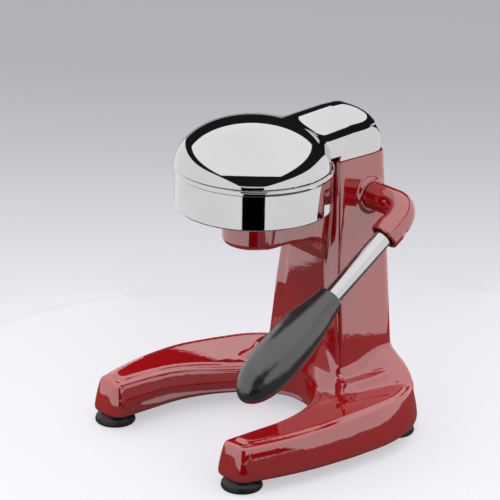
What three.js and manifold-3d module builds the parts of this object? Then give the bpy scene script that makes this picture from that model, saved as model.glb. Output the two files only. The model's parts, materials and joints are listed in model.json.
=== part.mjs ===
// Lever citrus press: cast stand, chrome press head on a rack, lever with pinion, bowl, strainer and cone.
// Millimetres, +Z up, -Y is the front, the lever is on the +X side. The origin is on the table, at the
// centre of the footprint. Every part is drawn from the pressing axis, the vertical line through the bowl.
import * as THREE from 'three';
import { mergeVertices } from 'three/addons/utils/BufferGeometryUtils.js';
import Module from 'manifold-3d';

const wasm = await Module();
wasm.setup();

// ---- Driving dimensions ----
const GAP = 0.3; // play between neighbouring parts
const LIP_R = 60; // bowl lip, outside
const BASE_HALF = 106; // half width of the horseshoe foot
const BASE_REAR = 122; // rearmost point behind the pressing axis
const LEG_TIP = 84; // foremost point of the legs
const FOOT_R = 15.8;
const FOOT_X = 75.4;
const FOOT_FRONT = -72.2;
const FOOT_REAR = 84;
const CAST_Z = 10; // underside of the casting
const COLUMN_TOP = 211.5;
const COLUMN_REAR = 111;
const WALL = 4;
const HOLDER_R = 23.4;
const HOLDER_Z = 154.3; // underside of the bowl holder
const ARM_TOP = 180;
const ARM_HALF = 22.5;
const ARM_FRONT = 53.7; // front face of the rib under the arm
const SPOUT_Z = 152; // end of the bowl's spout
const BOWL_Z = 184; // lower edge of the bowl's band
const LIP_Z = 215.4; // top of the bowl's lip
const DOME_R = 58.8;
const DOME_Z = LIP_Z + GAP;
const DOME_H = 35.3;
const DOME_SHIFT = -1.5; // the dome sits a little forward of the bowl
const CAP_Z = COLUMN_TOP + GAP;
const CAP_TOP = 247;
const SHAFT_Y = 91.5; // pinion shaft, along X
const SHAFT_Z = 180.3;
const SHAFT_R = 6;
const LEVER_X = 72;
const LEVER_DROP = 34.7; // degrees below horizontal when the head is down
const ELBOW_R = 10.8;
const MOUTH_R = 11.8;
const MOUTH_S = 30; // elbow mouth, from the shaft axis along the lever
const ROD_R = 7.15;
const GRIP_S = 92; // grip, from the shaft axis
const GRIP_END = 198;
const GRUB_X = 44; // grub screw that holds the elbow on the shaft
const GRUB_R = 2.5;
const MODULE = 2; // gear tooth module
const TEETH = 13;
const PITCH_R = MODULE * TEETH / 2;
const PRESSURE = 20 * Math.PI / 180;
const BACKLASH = 0.16;
const BOSS_X = 33; // outer faces of the shaft bosses
const BUSH_R = 9;
const BUSH_IN = 24; // inner ends of the shaft bushes
const FOOTPRINT_Y = (BASE_REAR + FOOT_FRONT - FOOT_R) / 2;

// ---- Materials ----
const paint = (name, color, roughness, metalness) =>
  new THREE.MeshStandardMaterial({ name, color, roughness, metalness });
const RED = () => paint('red_enamel', 0x8c1216, 0.25, 0.1);
const CHROME = () => paint('chrome', 0xd8dadd, 0.06, 1);
const STAINLESS = () => paint('stainless', 0xc9cbcd, 0.18, 1);
const STEEL = () => paint('steel', 0x8f9296, 0.35, 1);
const ALUMINIUM = () => paint('aluminium', 0xb4b7ba, 0.35, 1);
const BRONZE = () => paint('bronze', 0xa8793c, 0.4, 1);
const BLACK = () => paint('black_plastic', 0x1b1c1e, 0.4, 0);
const RUBBER = () => paint('rubber', 0x101011, 0.7, 0);
const NYLON = () => paint('nylon', 0xe4e0d4, 0.5, 0);

// ---- Geometry helpers ----
// Rings of equal length, bottom to top, each counter-clockwise seen from above.
function loft(rings) {
  const count = rings[0].length;
  const points = rings.flat();
  const index = [];
  for (let k = 0; k + 1 < rings.length; k++) {
    for (let i = 0; i < count; i++) {
      const a = k * count + i;
      const b = k * count + (i + 1) % count;
      index.push(a, b, b + count, a, b + count, a + count);
    }
  }
  const cap = (ring, start, up) => {
    const flat = ring.map((p) => new THREE.Vector2(p.x, p.y));
    for (const [a, b, c] of THREE.ShapeUtils.triangulateShape(flat, [])) {
      if (up) index.push(start + a, start + b, start + c);
      else index.push(start + a, start + c, start + b);
    }
  };
  cap(rings[0], 0, false);
  cap(rings[rings.length - 1], (rings.length - 1) * count, true);
  const geometry = new THREE.BufferGeometry().setFromPoints(points);
  geometry.setIndex(index);
  return geometry;
}

function solid(geometry) {
  const bare = geometry.clone();
  bare.deleteAttribute('normal');
  bare.deleteAttribute('uv');
  const merged = mergeVertices(bare, 1e-4);
  const vertProperties = new Float32Array(merged.attributes.position.array);
  const triVerts = new Uint32Array(merged.index.array);
  const mesh = new wasm.Mesh({ numProp: 3, vertProperties, triVerts });
  mesh.merge();
  return new wasm.Manifold(mesh);
}

function surface(body) {
  const mesh = body.getMesh();
  const geometry = new THREE.BufferGeometry();
  geometry.setAttribute('position', new THREE.BufferAttribute(mesh.vertProperties, 3));
  geometry.setIndex(new THREE.BufferAttribute(mesh.triVerts, 1));
  return geometry;
}

const union = (bodies) => bodies.reduce((sum, body) => sum.add(body));
const carve = (body, tools) => tools.reduce((rest, tool) => rest.subtract(tool), body);

// Box between two corners.
function box(lo, hi) {
  const size = hi.map((h, i) => h - lo[i]);
  const geometry = new THREE.BoxGeometry(...size);
  return geometry.translate(...hi.map((h, i) => (h + lo[i]) / 2));
}

// Turned shape about Z from [radius, height] pairs, listed up the outside and closed on the axis.
function turned(profile, segments = 48) {
  return new THREE.LatheGeometry(profile.map(([r, z]) => new THREE.Vector2(r, z)), segments)
    .rotateX(Math.PI / 2);
}

// A flat (Y, Z) outline drawn in X and Y, stood up with its thickness along X.
const standUp = (geometry) => geometry.rotateY(Math.PI / 2).rotateX(Math.PI / 2);

const rod = (r, z0, z1, segments = 32) => turned([[0, z0], [r, z0], [r, z1], [0, z1]], segments);
const alongX = (geometry) => geometry.rotateY(Math.PI / 2);
const at = (geometry, x, y, z) => geometry.translate(x, y, z);
const shaftAt = (geometry) => at(alongX(geometry), 0, SHAFT_Y, SHAFT_Z);

// Turned shape laid along the lever, its Z measured from the shaft axis.
function onLever(geometry) {
  const tilt = (90 + LEVER_DROP) * Math.PI / 180;
  return at(geometry.rotateX(tilt), LEVER_X, SHAFT_Y, SHAFT_Z);
}

// Rectangle with rounded corners as a ring: half width, front and rear Y, corner radii.
function roundedRing(half, front, rear, rFront, rRear, z, steps = 4) {
  const ring = [];
  const corner = (cx, cy, r, from) => {
    for (let i = 0; i <= steps; i++) {
      const a = (from + 90 * i / steps) * Math.PI / 180;
      ring.push(new THREE.Vector3(cx + r * Math.cos(a), cy + r * Math.sin(a), z));
    }
  };
  corner(half - rFront, front + rFront, rFront, -90);
  corner(half - rRear, rear - rRear, rRear, 0);
  corner(-half + rRear, rear - rRear, rRear, 90);
  corner(-half + rFront, front + rFront, rFront, 180);
  return ring;
}

// ---- Stand casting ----
// Outline of the horseshoe foot, moved inwards by inset.
const REAR_START = 30;
const REAR_POWER = 2.65;
const SIDE_BOW = 0.0019; // the legs curve in towards their tips
const ARCH_HALF = 57.3;
const ARCH_START = -33;
const ARCH_APEX = 50.4;
const ARCH_POWER = 1.8;
const TIP_CORNER = 13;

function horseshoe(inset, z) {
  const half = [];
  const archHalf = ARCH_HALF + inset;
  const archRise = ARCH_APEX + inset - ARCH_START;
  for (let i = 0; i <= 9; i++) {
    const a = Math.PI / 2 * i / 9;
    const x = archHalf * Math.sin(a) ** (2 / ARCH_POWER);
    half.push([x, ARCH_START + archRise * Math.cos(a) ** (2 / ARCH_POWER)]);
  }
  const outer = BASE_HALF - inset;
  const sideX = (y) => outer - SIDE_BOW * Math.max(0, 22 - y) ** 2;
  const r = Math.max(TIP_CORNER - inset, 2);
  const tip = -LEG_TIP + inset;
  const corner = (cx, cy, from) => {
    for (let i = 0; i <= 3; i++) {
      const a = (from + 90 * i / 3) * Math.PI / 180;
      half.push([cx + r * Math.cos(a), cy + r * Math.sin(a)]);
    }
  };
  corner(archHalf + r, tip + r, 180);
  corner(sideX(tip + r) - r, tip + r, 270);
  for (let i = 1; i <= 4; i++) {
    const y = tip + r + (REAR_START - tip - r) * i / 4;
    half.push([sideX(y), y]);
  }
  const rear = BASE_REAR - inset - REAR_START;
  for (let i = 1; i <= 9; i++) {
    const a = Math.PI / 2 * i / 9;
    const x = outer * Math.cos(a) ** (2 / REAR_POWER);
    half.push([x < 1e-6 ? 0 : x, REAR_START + rear * Math.sin(a) ** (2 / REAR_POWER)]);
  }
  const mirrored = half.slice(1, -1).reverse().map(([x, y]) => [-x, y]);
  return [...half, ...mirrored].map(([x, y]) => new THREE.Vector3(x, y, z));
}

const legLevels = [[1.5, CAST_Z], [0, 12.5], [4.6, 28], [6.4, 32.2], [9.4, 35.6], [13.4, 37.6]];

// Column section: slightly tapered sides, an upright back and a front that leans out going down.
const columnHalf = (z) => 27.7 + 0.104 * (COLUMN_TOP - z);
const columnFront = (z) => (z > 100 ? 61.4 - 0.068 * (COLUMN_TOP - z) : 53.8 - 0.03 * (100 - z));

function columnLoft(inset, bottom, top) {
  const levels = [bottom, 70, 100, 150, top];
  return loft(levels.map((z) => roundedRing(columnHalf(z) - inset, columnFront(z) + inset,
    COLUMN_REAR - inset, 5, 10 - inset / 2, z)));
}

// The skirt sweeps from the column out over the foot: [height, half width, front, rear, corner].
const SKIRT = [
  [30, 66, 33, 119, 30], [36, 62, 41, 118, 27], [41, 56.5, 46, 116.5, 24], [47, 51, 49.5, 114, 20],
  [56, 46, 52, 112.5, 15], [69, 42.6, 53, 111, 10],
];

function skirt() {
  return loft(SKIRT.map(([z, half, front, rear, r]) => roundedRing(half, front, rear, r / 2, r, z)));
}

// Bracket that carries the bowl, with a hollow sweep into the rib below it.
function arm() {
  const sweep = 16;
  const shape = new THREE.Shape();
  shape.moveTo(0, HOLDER_Z + 0.5);
  shape.lineTo(ARM_FRONT - sweep, HOLDER_Z - 2.3);
  shape.absarc(ARM_FRONT - sweep, HOLDER_Z - 2.3 - sweep, sweep, Math.PI / 2, 0, true);
  shape.lineTo(ARM_FRONT + 12, HOLDER_Z - 2.3 - sweep);
  shape.lineTo(ARM_FRONT + 12, ARM_TOP);
  shape.lineTo(0, ARM_TOP);
  const options = { depth: 2 * ARM_HALF, bevelEnabled: false, curveSegments: 6 };
  const geometry = new THREE.ExtrudeGeometry(shape, options);
  return standUp(geometry.translate(0, 0, -ARM_HALF));
}

function rib() {
  return loft([30, 60, ARM_TOP].map((z) => roundedRing(ARM_HALF, ARM_FRONT, 75, 3, 3, z, 2)));
}

function holder() {
  const r = 4;
  const edge = [0, 30, 60, 90].map((deg) => {
    const a = deg * Math.PI / 180;
    return [HOLDER_R - r + r * Math.sin(a), HOLDER_Z + r - r * Math.cos(a)];
  });
  return turned([[0, HOLDER_Z], ...edge, [HOLDER_R, ARM_TOP], [0, ARM_TOP]], 40);
}

// Inside of the column: a well from the open underside to the open top, with ledges for the rack guides.
const GUIDE_H = 12;
const GUIDE_UPPER_Z = 197;
const GUIDE_LOWER_Z = 118;
const GUIDE_Y = [66.5, 84];
const LEDGE_X = 14;
const GUIDE_SCREW_X = 18.5;
const GUIDE_SCREW_Y = 75;
const GUIDE_SCREW_R = 1.7;
const LEDGE_H = 14;
const LEDGE_Y = [40, 81];
const LEDGE_REACH = 60; // the ledges run into the column's sides

function columnWell() {
  const well = solid(columnLoft(WALL - 0.6, 5, COLUMN_TOP + 5));
  const ledges = [];
  for (const side of [-1, 1]) {
    const x = [side * LEDGE_X, side * LEDGE_REACH].sort((a, b) => a - b);
    const upper = [GUIDE_UPPER_Z - GAP - LEDGE_H, GUIDE_UPPER_Z - GAP];
    const lower = [GUIDE_LOWER_Z + GUIDE_H + GAP, GUIDE_LOWER_Z + GUIDE_H + LEDGE_H];
    for (const [z0, z1] of [upper, lower]) {
      ledges.push(solid(box([x[0], LEDGE_Y[0], z0], [x[1], LEDGE_Y[1], z1])));
    }
  }
  return carve(well, ledges);
}

const footPlaces = [-1, 1].flatMap((side) => [
  { name: side < 0 ? 'left' : 'right', end: 'front', x: side * FOOT_X, y: FOOT_FRONT },
  { name: side < 0 ? 'left' : 'right', end: 'rear', x: side * (FOOT_X - 2), y: FOOT_REAR },
]);

const FOOT_SCREW_R = 2;
const FOOT_SCREW_TOP = 22;
const PILLAR_R = 8; // pillars inside the hollow foot take the foot screws
const BOSS_R = 12.6;
const CUP_R = 19; // socket in the holder for the bowl
const OUTLET_R = 13.2; // hole in the holder for the spout

function bodyCasting() {
  const foot = solid(loft(legLevels.map(([inset, z]) => horseshoe(inset, z))));
  const plan = solid(loft([[3.5, 20], [3.5, 90]].map(([inset, z]) => horseshoe(inset, z))));
  const spread = solid(skirt()).intersect(plan);
  const column = solid(columnLoft(0, CAST_Z, COLUMN_TOP));
  const bosses = [-1, 1].map((side) => {
    const boss = turned([[0, 20], [BOSS_R, 20], [BOSS_R, BOSS_X - 1], [BOSS_R - 1, BOSS_X], [0, BOSS_X]], 40);
    return solid(shaftAt(side > 0 ? boss : boss.rotateX(Math.PI)));
  });
  const whole = union([foot, spread, column, solid(arm()), solid(rib()), solid(holder()), ...bosses]);

  const pocket = solid(loft([[6, CAST_Z - 2], [6.4, 14], [12, 30]].map(([d, z]) => horseshoe(d, z))));
  const pillars = footPlaces.map(({ x, y }) => solid(at(rod(PILLAR_R, 0, 40, 20), x, y, 0)));
  const screwHoles = footPlaces.map(({ x, y }) =>
    solid(at(rod(FOOT_SCREW_R + GAP, 0, FOOT_SCREW_TOP + 1, 16), x, y, 0)));
  const guideHoles = [-1, 1].flatMap((side) => {
    const starts = [GUIDE_UPPER_Z - 11, GUIDE_LOWER_Z + GUIDE_H - 1];
    const x = side * GUIDE_SCREW_X;
    return starts.map((z) => solid(at(rod(GUIDE_SCREW_R + GAP, z, z + 12, 12), x, GUIDE_SCREW_Y, 0)));
  });
  const bushBores = solid(shaftAt(rod(BUSH_R + GAP, -60, 60, 40)));
  const cup = solid(rod(CUP_R, HOLDER_Z + 4, ARM_TOP + 5, 40));
  const outlet = solid(rod(OUTLET_R, HOLDER_Z - 5, ARM_TOP, 32));
  const hollow = carve(pocket, pillars);
  return surface(carve(whole, [hollow, columnWell(), ...screwHoles, ...guideHoles, bushBores, cup, outlet]));
}

// ---- Feet ----
function suctionFoot() {
  const bore = FOOT_SCREW_R + GAP;
  const top = CAST_Z - GAP;
  return turned([[bore, 5.2], [4.8, 5.2], [4.8, 2.6], [9, 1.8], [13.2, 0], [15, 0], [FOOT_R, 1.6],
    [15.2, 3.6], [12.6, 5.8], [10.8, 8], [10.6, top], [bore, top], [bore, 5.2]], 16);
}

function footScrew() {
  return turned([[0, 2.8], [4.2, 2.8], [4.2, 4.4], [3.4, 4.9], [FOOT_SCREW_R, 4.9],
    [FOOT_SCREW_R, FOOT_SCREW_TOP], [0, FOOT_SCREW_TOP]], 10);
}

// ---- Press head ----
const domeRadius = (t) => Math.sqrt(Math.max(0, 1 - t ** 2)); // radius share at height share t

function domeProfile(r, z0, h, steps = 10) {
  const profile = [[0, z0]];
  for (let i = 0; i < steps; i++) {
    const t = Math.sin(Math.PI / 2 * i / steps);
    profile.push([r * domeRadius(t), z0 + h * t]);
  }
  profile.push([0, z0 + h]);
  return profile;
}

// Arched cap over the column: rings from front to rear, each an arch over the width.
const CAP_HALF = 27.9;
const CAP_SHAPE = [[20, 0.86, 1], [48, 0.94, 1], [72, 1, 1], [88, 0.99, 1], [98, 0.9, 0.99],
  [105, 0.72, 0.95], [109.6, 0.42, 0.87], [COLUMN_REAR - 0.4, 0, 0.8]]; // Y, height share, width share

function archCap(inset, bottom, rearInset) {
  const rings = CAP_SHAPE.map(([y, rise, width]) => {
    const half = (CAP_HALF - inset) * width;
    const top = bottom + 9 + (CAP_TOP - inset - bottom - 9) * rise;
    const shoulder = bottom + 9 * Math.min(1, rise * 3 + 0.25);
    const ring = [[half, bottom]];
    for (let i = 0; i <= 10; i++) {
      const a = Math.PI * i / 10;
      ring.push([half * Math.cos(a), shoulder + (top - shoulder) * Math.sin(a) ** 0.85]);
    }
    ring.push([-half, bottom]);
    return ring.map(([x, z]) => new THREE.Vector3(x, z, -Math.min(y, COLUMN_REAR - rearInset)));
  });
  return loft(rings.reverse()).rotateX(Math.PI / 2);
}

const RACK_Y = SHAFT_Y - PITCH_R; // pitch line of the rack
const RACK_FRONT = 67.6;
const RACK_HALF = 8;
const FLANGE_Z = 219.7;
const FLANGE_H = 6;
const FLANGE_HALF = 15;
const RACK_SCREW_X = 11.5;
const RACK_SCREW_Y = RACK_Y - 6;
const RACK_SCREW_R = 2;
const BELL_SCREW_R = 2.1;
const HEAD_WALL = 3;

function pressHead() {
  const dome = at(turned(domeProfile(DOME_R, DOME_Z, DOME_H), 40), 0, DOME_SHIFT, 0);
  const overBowl = solid(box([-40, -80, 150], [40, COLUMN_TOP - 150.2, DOME_Z]));
  const cap = solid(archCap(0, CAP_Z, 0.4)).subtract(overBowl);
  const inner = at(turned(domeProfile(DOME_R - HEAD_WALL, DOME_Z - 2, DOME_H - 1, 8), 32), 0, DOME_SHIFT, 0);
  const well = solid(box([-23.6, 65, 200], [23.6, 106, 232]));
  const mountZ = FLANGE_Z + FLANGE_H + GAP;
  const mount = solid(box([-FLANGE_HALF - 1, 60, mountZ], [FLANGE_HALF + 1, 83, 240]));
  const hub = solid(at(rod(8, 243.6, 249, 24), 0, DOME_SHIFT, 0));
  const screwHoles = [-1, 1].map((side) =>
    solid(at(rod(RACK_SCREW_R + GAP, mountZ - 1, mountZ + 9, 12), side * RACK_SCREW_X, RACK_SCREW_Y, 0)));
  const hubHole = solid(at(rod(BELL_SCREW_R + 0.2, 243, 248.5, 12), 0, DOME_SHIFT, 0));
  const shell = solid(dome).add(cap);
  const hollows = [carve(solid(inner), [hub]), carve(well, [mount])];
  return surface(carve(shell, [...hollows, ...screwHoles, hubHole]));
}

// Ribbed pressing bell under the dome.
function pressBell() {
  const outer = domeProfile(DOME_R - HEAD_WALL - GAP, DOME_Z - 2 - GAP, DOME_H - 1, 8).slice(1, -1)
    .filter(([, z]) => z > DOME_Z && z < 240.6);
  const profile = [[0, 239], [10, 239], [22, 236.6], [34, 230.4], [44, 221.4], [48, DOME_Z + 0.6],
    [outer[0][0], DOME_Z + 0.6], ...outer, [12, 243.2], [0, 243.2]];
  const bell = solid(turned(profile, 32));
  const hole = solid(rod(2.5, 230, 250, 12));
  const grooves = [];
  const count = 12;
  for (let i = 0; i < count; i++) {
    const groove = box([-1.2, 14, 0], [1.2, 60, 4]);
    grooves.push(solid(at(groove.rotateX(-0.62), 0, 0, 239).rotateZ(2 * Math.PI * i / count)));
  }
  return at(surface(carve(bell, [hole, ...grooves])), 0, DOME_SHIFT, 0);
}

function bellScrew() {
  const profile = [[0, 235.6], [4.6, 235.6], [5, 236.6], [5, 238.7], [BELL_SCREW_R, 238.7],
    [BELL_SCREW_R, 248], [0, 248]];
  return at(turned(profile, 16), 0, DOME_SHIFT, 0);
}

// ---- Rack and pinion ----
const RACK_BOTTOM = 74;
const RACK_TOOTH = 1.4; // tooth height above the pitch line
const RACK_ROOT = 2.5; // tooth depth below it
const RACK_TEETH_DOWN = 9; // teeth below the shaft's height
const RACK_TEETH_UP = 2;

function rack() {
  const pitch = Math.PI * MODULE;
  const slope = Math.tan(PRESSURE);
  const halfTooth = pitch / 4 - BACKLASH / 2;
  const edge = [];
  for (let k = -RACK_TEETH_DOWN; k <= RACK_TEETH_UP; k++) {
    const z = SHAFT_Z + k * pitch;
    const root = halfTooth + RACK_ROOT * slope;
    const tip = halfTooth - RACK_TOOTH * slope;
    edge.push([RACK_Y - RACK_ROOT, z - root], [RACK_Y + RACK_TOOTH, z - tip]);
    edge.push([RACK_Y + RACK_TOOTH, z + tip], [RACK_Y - RACK_ROOT, z + root]);
  }
  const back = RACK_Y - RACK_ROOT;
  const outline = [[RACK_FRONT, RACK_BOTTOM], [back, RACK_BOTTOM], ...edge, [back, FLANGE_Z + 1],
    [RACK_FRONT, FLANGE_Z + 1]];
  const shape = new THREE.Shape(outline.map(([y, z]) => new THREE.Vector2(y, z)));
  const bar = new THREE.ExtrudeGeometry(shape, { depth: 2 * RACK_HALF, bevelEnabled: false })
    .translate(0, 0, -RACK_HALF);
  const flange = box([-FLANGE_HALF, RACK_FRONT, FLANGE_Z], [FLANGE_HALF, back + 2, FLANGE_Z + FLANGE_H]);
  const holes = [-1, 1].map((side) =>
    solid(at(rod(RACK_SCREW_R + GAP, FLANGE_Z - 2, FLANGE_Z + 9, 12), side * RACK_SCREW_X, RACK_SCREW_Y, 0)));
  return surface(carve(solid(standUp(bar)).add(solid(flange)), holes));
}

function rackScrew(side) {
  const z = FLANGE_Z - GAP;
  const top = FLANGE_Z + FLANGE_H + 8;
  const profile = [[0, z - 3], [3.2, z - 3], [3.2, z], [RACK_SCREW_R, z], [RACK_SCREW_R, top], [0, top]];
  return at(turned(profile, 12), side * RACK_SCREW_X, RACK_SCREW_Y, 0);
}

const PINION_HALF = 7.5;
const PINION_TIP = PITCH_R + 1.9;
const PINION_ROOT = PITCH_R - 1.9;
const KEY_HALF = 2;

// Involute teeth; a tooth space faces the rack.
function pinion() {
  const baseR = PITCH_R * Math.cos(PRESSURE);
  const involute = (r) => {
    const t = Math.sqrt((r / baseR) ** 2 - 1);
    return t - Math.atan(t);
  };
  const halfAtPitch = Math.PI / (2 * TEETH) - BACKLASH / (2 * PITCH_R);
  const flank = [];
  for (let i = 0; i <= 4; i++) {
    const r = baseR + (PINION_TIP - baseR) * i / 4;
    flank.push([r, halfAtPitch + involute(PITCH_R) - involute(r)]);
  }
  const rootAngle = flank[0][1] + 0.01;
  const outline = [];
  for (let k = 0; k < TEETH; k++) {
    const centre = Math.PI + (k + 0.5) * 2 * Math.PI / TEETH;
    const tooth = [[PINION_ROOT, -rootAngle], ...flank.map(([r, a]) => [r, -a]),
      ...flank.map(([r, a]) => [r, a]).reverse(), [PINION_ROOT, rootAngle]];
    for (const [r, a] of tooth) {
      outline.push(new THREE.Vector2(r * Math.cos(centre + a), r * Math.sin(centre + a)));
    }
  }
  const options = { depth: 2 * PINION_HALF, bevelEnabled: false };
  const gear = new THREE.ExtrudeGeometry(new THREE.Shape(outline), options).translate(0, 0, -PINION_HALF);
  const bore = solid(rod(SHAFT_R + GAP, -20, 20, 32));
  const keyway = solid(box([-KEY_HALF - GAP, 0, -20], [KEY_HALF + GAP, 8.3, 20]));
  const cut = surface(carve(solid(gear), [bore, keyway]));
  return at(standUp(cut), 0, SHAFT_Y, SHAFT_Z);
}

function keyBox(grow) {
  const x = PINION_HALF - 0.5 + grow;
  const y = KEY_HALF + grow;
  return box([-x, -y, SHAFT_R - 2 - grow], [x, y, SHAFT_R + 2]);
}

const SHAFT_LEFT = -BOSS_X - 0.3;
const SHAFT_RIGHT = 58;
const END_SCREW_R = 2;
const WASHER_T = 1.6;
const OIL_FILM = 0.12; // play of the shaft in its bushes

function shaft() {
  const body = solid(alongX(turned([[0, SHAFT_LEFT], [SHAFT_R, SHAFT_LEFT], [SHAFT_R, SHAFT_RIGHT],
    [0, SHAFT_RIGHT]], 36)));
  const tapped = solid(alongX(rod(END_SCREW_R + GAP, SHAFT_LEFT - 1, SHAFT_LEFT + 13, 12)));
  return at(surface(carve(body, [solid(keyBox(GAP)), tapped])), 0, SHAFT_Y, SHAFT_Z);
}

// Ring along the shaft on one side: inner and outer radius, near and far ends.
function shaftRing(side, inner, outer, from, to, segments) {
  const profile = [[inner, from], [outer, from], [outer, to], [inner, to], [inner, from]];
  const geometry = turned(profile, segments);
  return shaftAt(side > 0 ? geometry : geometry.rotateX(Math.PI));
}

const bush = (side) => shaftRing(side, SHAFT_R + OIL_FILM, BUSH_R, BUSH_IN, BOSS_X - GAP, 36);
const spacer = (side) => shaftRing(side, SHAFT_R + GAP, 8.2, PINION_HALF + GAP, BUSH_IN - GAP, 24);

function endWasher() {
  const x = SHAFT_LEFT - GAP;
  const bore = END_SCREW_R + 0.4;
  const profile = [[bore, x - WASHER_T], [10.6, x - WASHER_T], [10.6, x], [bore, x], [bore, x - WASHER_T]];
  return shaftAt(turned(profile, 24));
}

function endScrew() {
  const x = SHAFT_LEFT - GAP - WASHER_T - GAP;
  const profile = [[0, x - 3.4], [3, x - 3.4], [4.6, x - 2], [4.6, x], [END_SCREW_R, x],
    [END_SCREW_R, x + 14], [0, x + 14]];
  return shaftAt(turned(profile, 16));
}

// ---- Rack guides ----
function guideBlock(z, half) {
  const block = solid(box([-half, GUIDE_Y[0], z], [half, GUIDE_Y[1], z + GUIDE_H]));
  const slot = solid(box([-RACK_HALF - GAP, RACK_FRONT - GAP, z - 1],
    [RACK_HALF + GAP, RACK_Y + RACK_TOOTH + GAP, z + GUIDE_H + 1]));
  const holes = [-1, 1].map((side) =>
    solid(at(rod(GUIDE_SCREW_R + GAP, z - 1, z + GUIDE_H + 1, 12), side * GUIDE_SCREW_X, GUIDE_SCREW_Y, 0)));
  return surface(carve(block, [slot, ...holes]));
}

// Drawn head down; direction 1 points the shank up, -1 points it down.
function guideScrew(side, headZ, direction) {
  const profile = [[0, 0], [3, 0], [3, 2], [GUIDE_SCREW_R, 2], [GUIDE_SCREW_R, 22], [0, 22]];
  const geometry = turned(profile, 12);
  if (direction < 0) geometry.rotateX(Math.PI);
  return at(geometry, side * GUIDE_SCREW_X, GUIDE_SCREW_Y, headZ);
}

// ---- Lever ----
function elbow() {
  const drop = LEVER_DROP * Math.PI / 180;
  const along = new THREE.Vector3(0, -Math.cos(drop), -Math.sin(drop));
  const bend = 15;
  const start = new THREE.Vector3(BOSS_X + 0.4, 0, 0);
  const corner = new THREE.Vector3(LEVER_X, 0, 0);
  const before = corner.clone().add(new THREE.Vector3(-bend, 0, 0));
  const after = corner.clone().addScaledVector(along, bend);
  const path = new THREE.CurvePath();
  path.add(new THREE.LineCurve3(start, before));
  path.add(new THREE.QuadraticBezierCurve3(before, corner, after));
  path.add(new THREE.LineCurve3(after, corner.clone().addScaledVector(along, MOUTH_S)));
  const circle = new THREE.Shape();
  circle.absarc(0, 0, ELBOW_R, 0, 2 * Math.PI);
  const tube = new THREE.ExtrudeGeometry(circle, { steps: 14, extrudePath: path, curveSegments: 10 });
  const collar = onLever(turned([[0, 17], [ELBOW_R, 17], [MOUTH_R, 22], [MOUTH_R, MOUTH_S - 0.8],
    [MOUTH_R - 0.8, MOUTH_S], [0, MOUTH_S]], 24));
  const outer = solid(at(tube, 0, SHAFT_Y, SHAFT_Z)).add(solid(collar));
  const recess = solid(onLever(rod(9.2, MOUTH_S - 7, MOUTH_S + 5, 24)));
  const rodBore = solid(onLever(rod(ROD_R + GAP, 13, MOUTH_S + 5, 24)));
  const shaftBore = solid(shaftAt(rod(SHAFT_R + GAP, BOSS_X - 5, SHAFT_RIGHT + GAP, 24)));
  const grubBore = rod(GRUB_R + GAP, 0, 20, 12).rotateX(-Math.PI / 2);
  const grubHole = solid(at(grubBore, GRUB_X, SHAFT_Y, SHAFT_Z));
  return surface(carve(outer, [recess, rodBore, shaftBore, grubHole]));
}

function grubScrew() {
  const screw = rod(GRUB_R, SHAFT_R + GAP + 0.1, ELBOW_R - 1, 12).rotateX(-Math.PI / 2);
  return at(screw, GRUB_X, SHAFT_Y, SHAFT_Z);
}

const leverRod = () => onLever(rod(ROD_R, 14, GRIP_END - 20, 24));

function grip() {
  const bore = ROD_R + GAP;
  return onLever(turned([[bore, GRIP_S], [9.2, GRIP_S], [10.3, GRIP_S + 1], [10.7, GRIP_S + 4],
    [11.2, 100], [12.4, 107], [14.4, 115.5], [16.3, 125], [17.4, 136], [18, 150], [18, 163], [17.2, 172],
    [15.6, 180], [12.8, 187.4], [9, 193], [4.6, 196.8], [0, GRIP_END], [0, GRIP_END - 19],
    [bore, GRIP_END - 19], [bore, GRIP_S]], 24));
}

// ---- Bowl, strainer and cone ----
function bowl() {
  const wall = 1.2;
  const spout = 12.6;
  return turned([[spout - wall, SPOUT_Z], [spout, SPOUT_Z], [spout, 174], [18, 177.5], [18.6, 181.5],
    [24.5, 182.2], [56.5, BOWL_Z - 0.4], [58.6, BOWL_Z], [59.3, BOWL_Z + 1.2], [59.5, LIP_Z - 4.4],
    [LIP_R, LIP_Z - 3.2], [LIP_R, LIP_Z - 1], [59.2, LIP_Z], [57.9, LIP_Z], [57.6, 205], [56.4, 204.2],
    [56.2, 187], [54, 185.6], [24, 183.8], [17.6, 183], [spout - wall, 176], [spout - wall, SPOUT_Z]], 36);
}

function bowlGasket() {
  const top = ARM_TOP + 1.2;
  return turned([[19.8, ARM_TOP + GAP], [22.6, ARM_TOP + GAP], [22.6, top], [19.8, top],
    [19.8, ARM_TOP + GAP]], 32);
}

const STRAINER_Z = 197;

function strainer() {
  const dish = solid(turned([[0, STRAINER_Z], [42, STRAINER_Z], [53, 204.7], [57, 205.3], [57, 206.5],
    [52.4, 205.9], [41.4, STRAINER_Z + 1.2], [0, STRAINER_Z + 1.2]], 32));
  const slots = [];
  const count = 20;
  for (let i = 0; i < count; i++) {
    const slot = box([-1.3, 30, STRAINER_Z - 2], [1.3, 39.5, STRAINER_Z + 4]);
    slots.push(solid(slot.rotateZ(2 * Math.PI * i / count)));
  }
  return surface(carve(dish, slots));
}

// Ribbed cone: [height, radius, rib depth].
const CONE = [[STRAINER_Z + 1.6, 27, 0], [STRAINER_Z + 4, 27, 0.02], [207, 23, 0.1], [215, 18.4, 0.13],
  [223, 12.4, 0.13], [230, 5.4, 0.08], [232.4, 1.6, 0]];
const CONE_RIBS = 10;

function reamerCone() {
  const count = CONE_RIBS * 4;
  return loft(CONE.map(([z, r, depth]) => Array.from({ length: count }, (_, i) => {
    const a = 2 * Math.PI * i / count;
    const reach = r * (1 - depth + depth * Math.abs(Math.cos(a * CONE_RIBS / 2)) ** 0.7);
    return new THREE.Vector3(reach * Math.cos(a), reach * Math.sin(a), z);
  })));
}

// ---- Assembly ----
const press = new THREE.Group();
press.position.y = -FOOTPRINT_Y;

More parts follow.
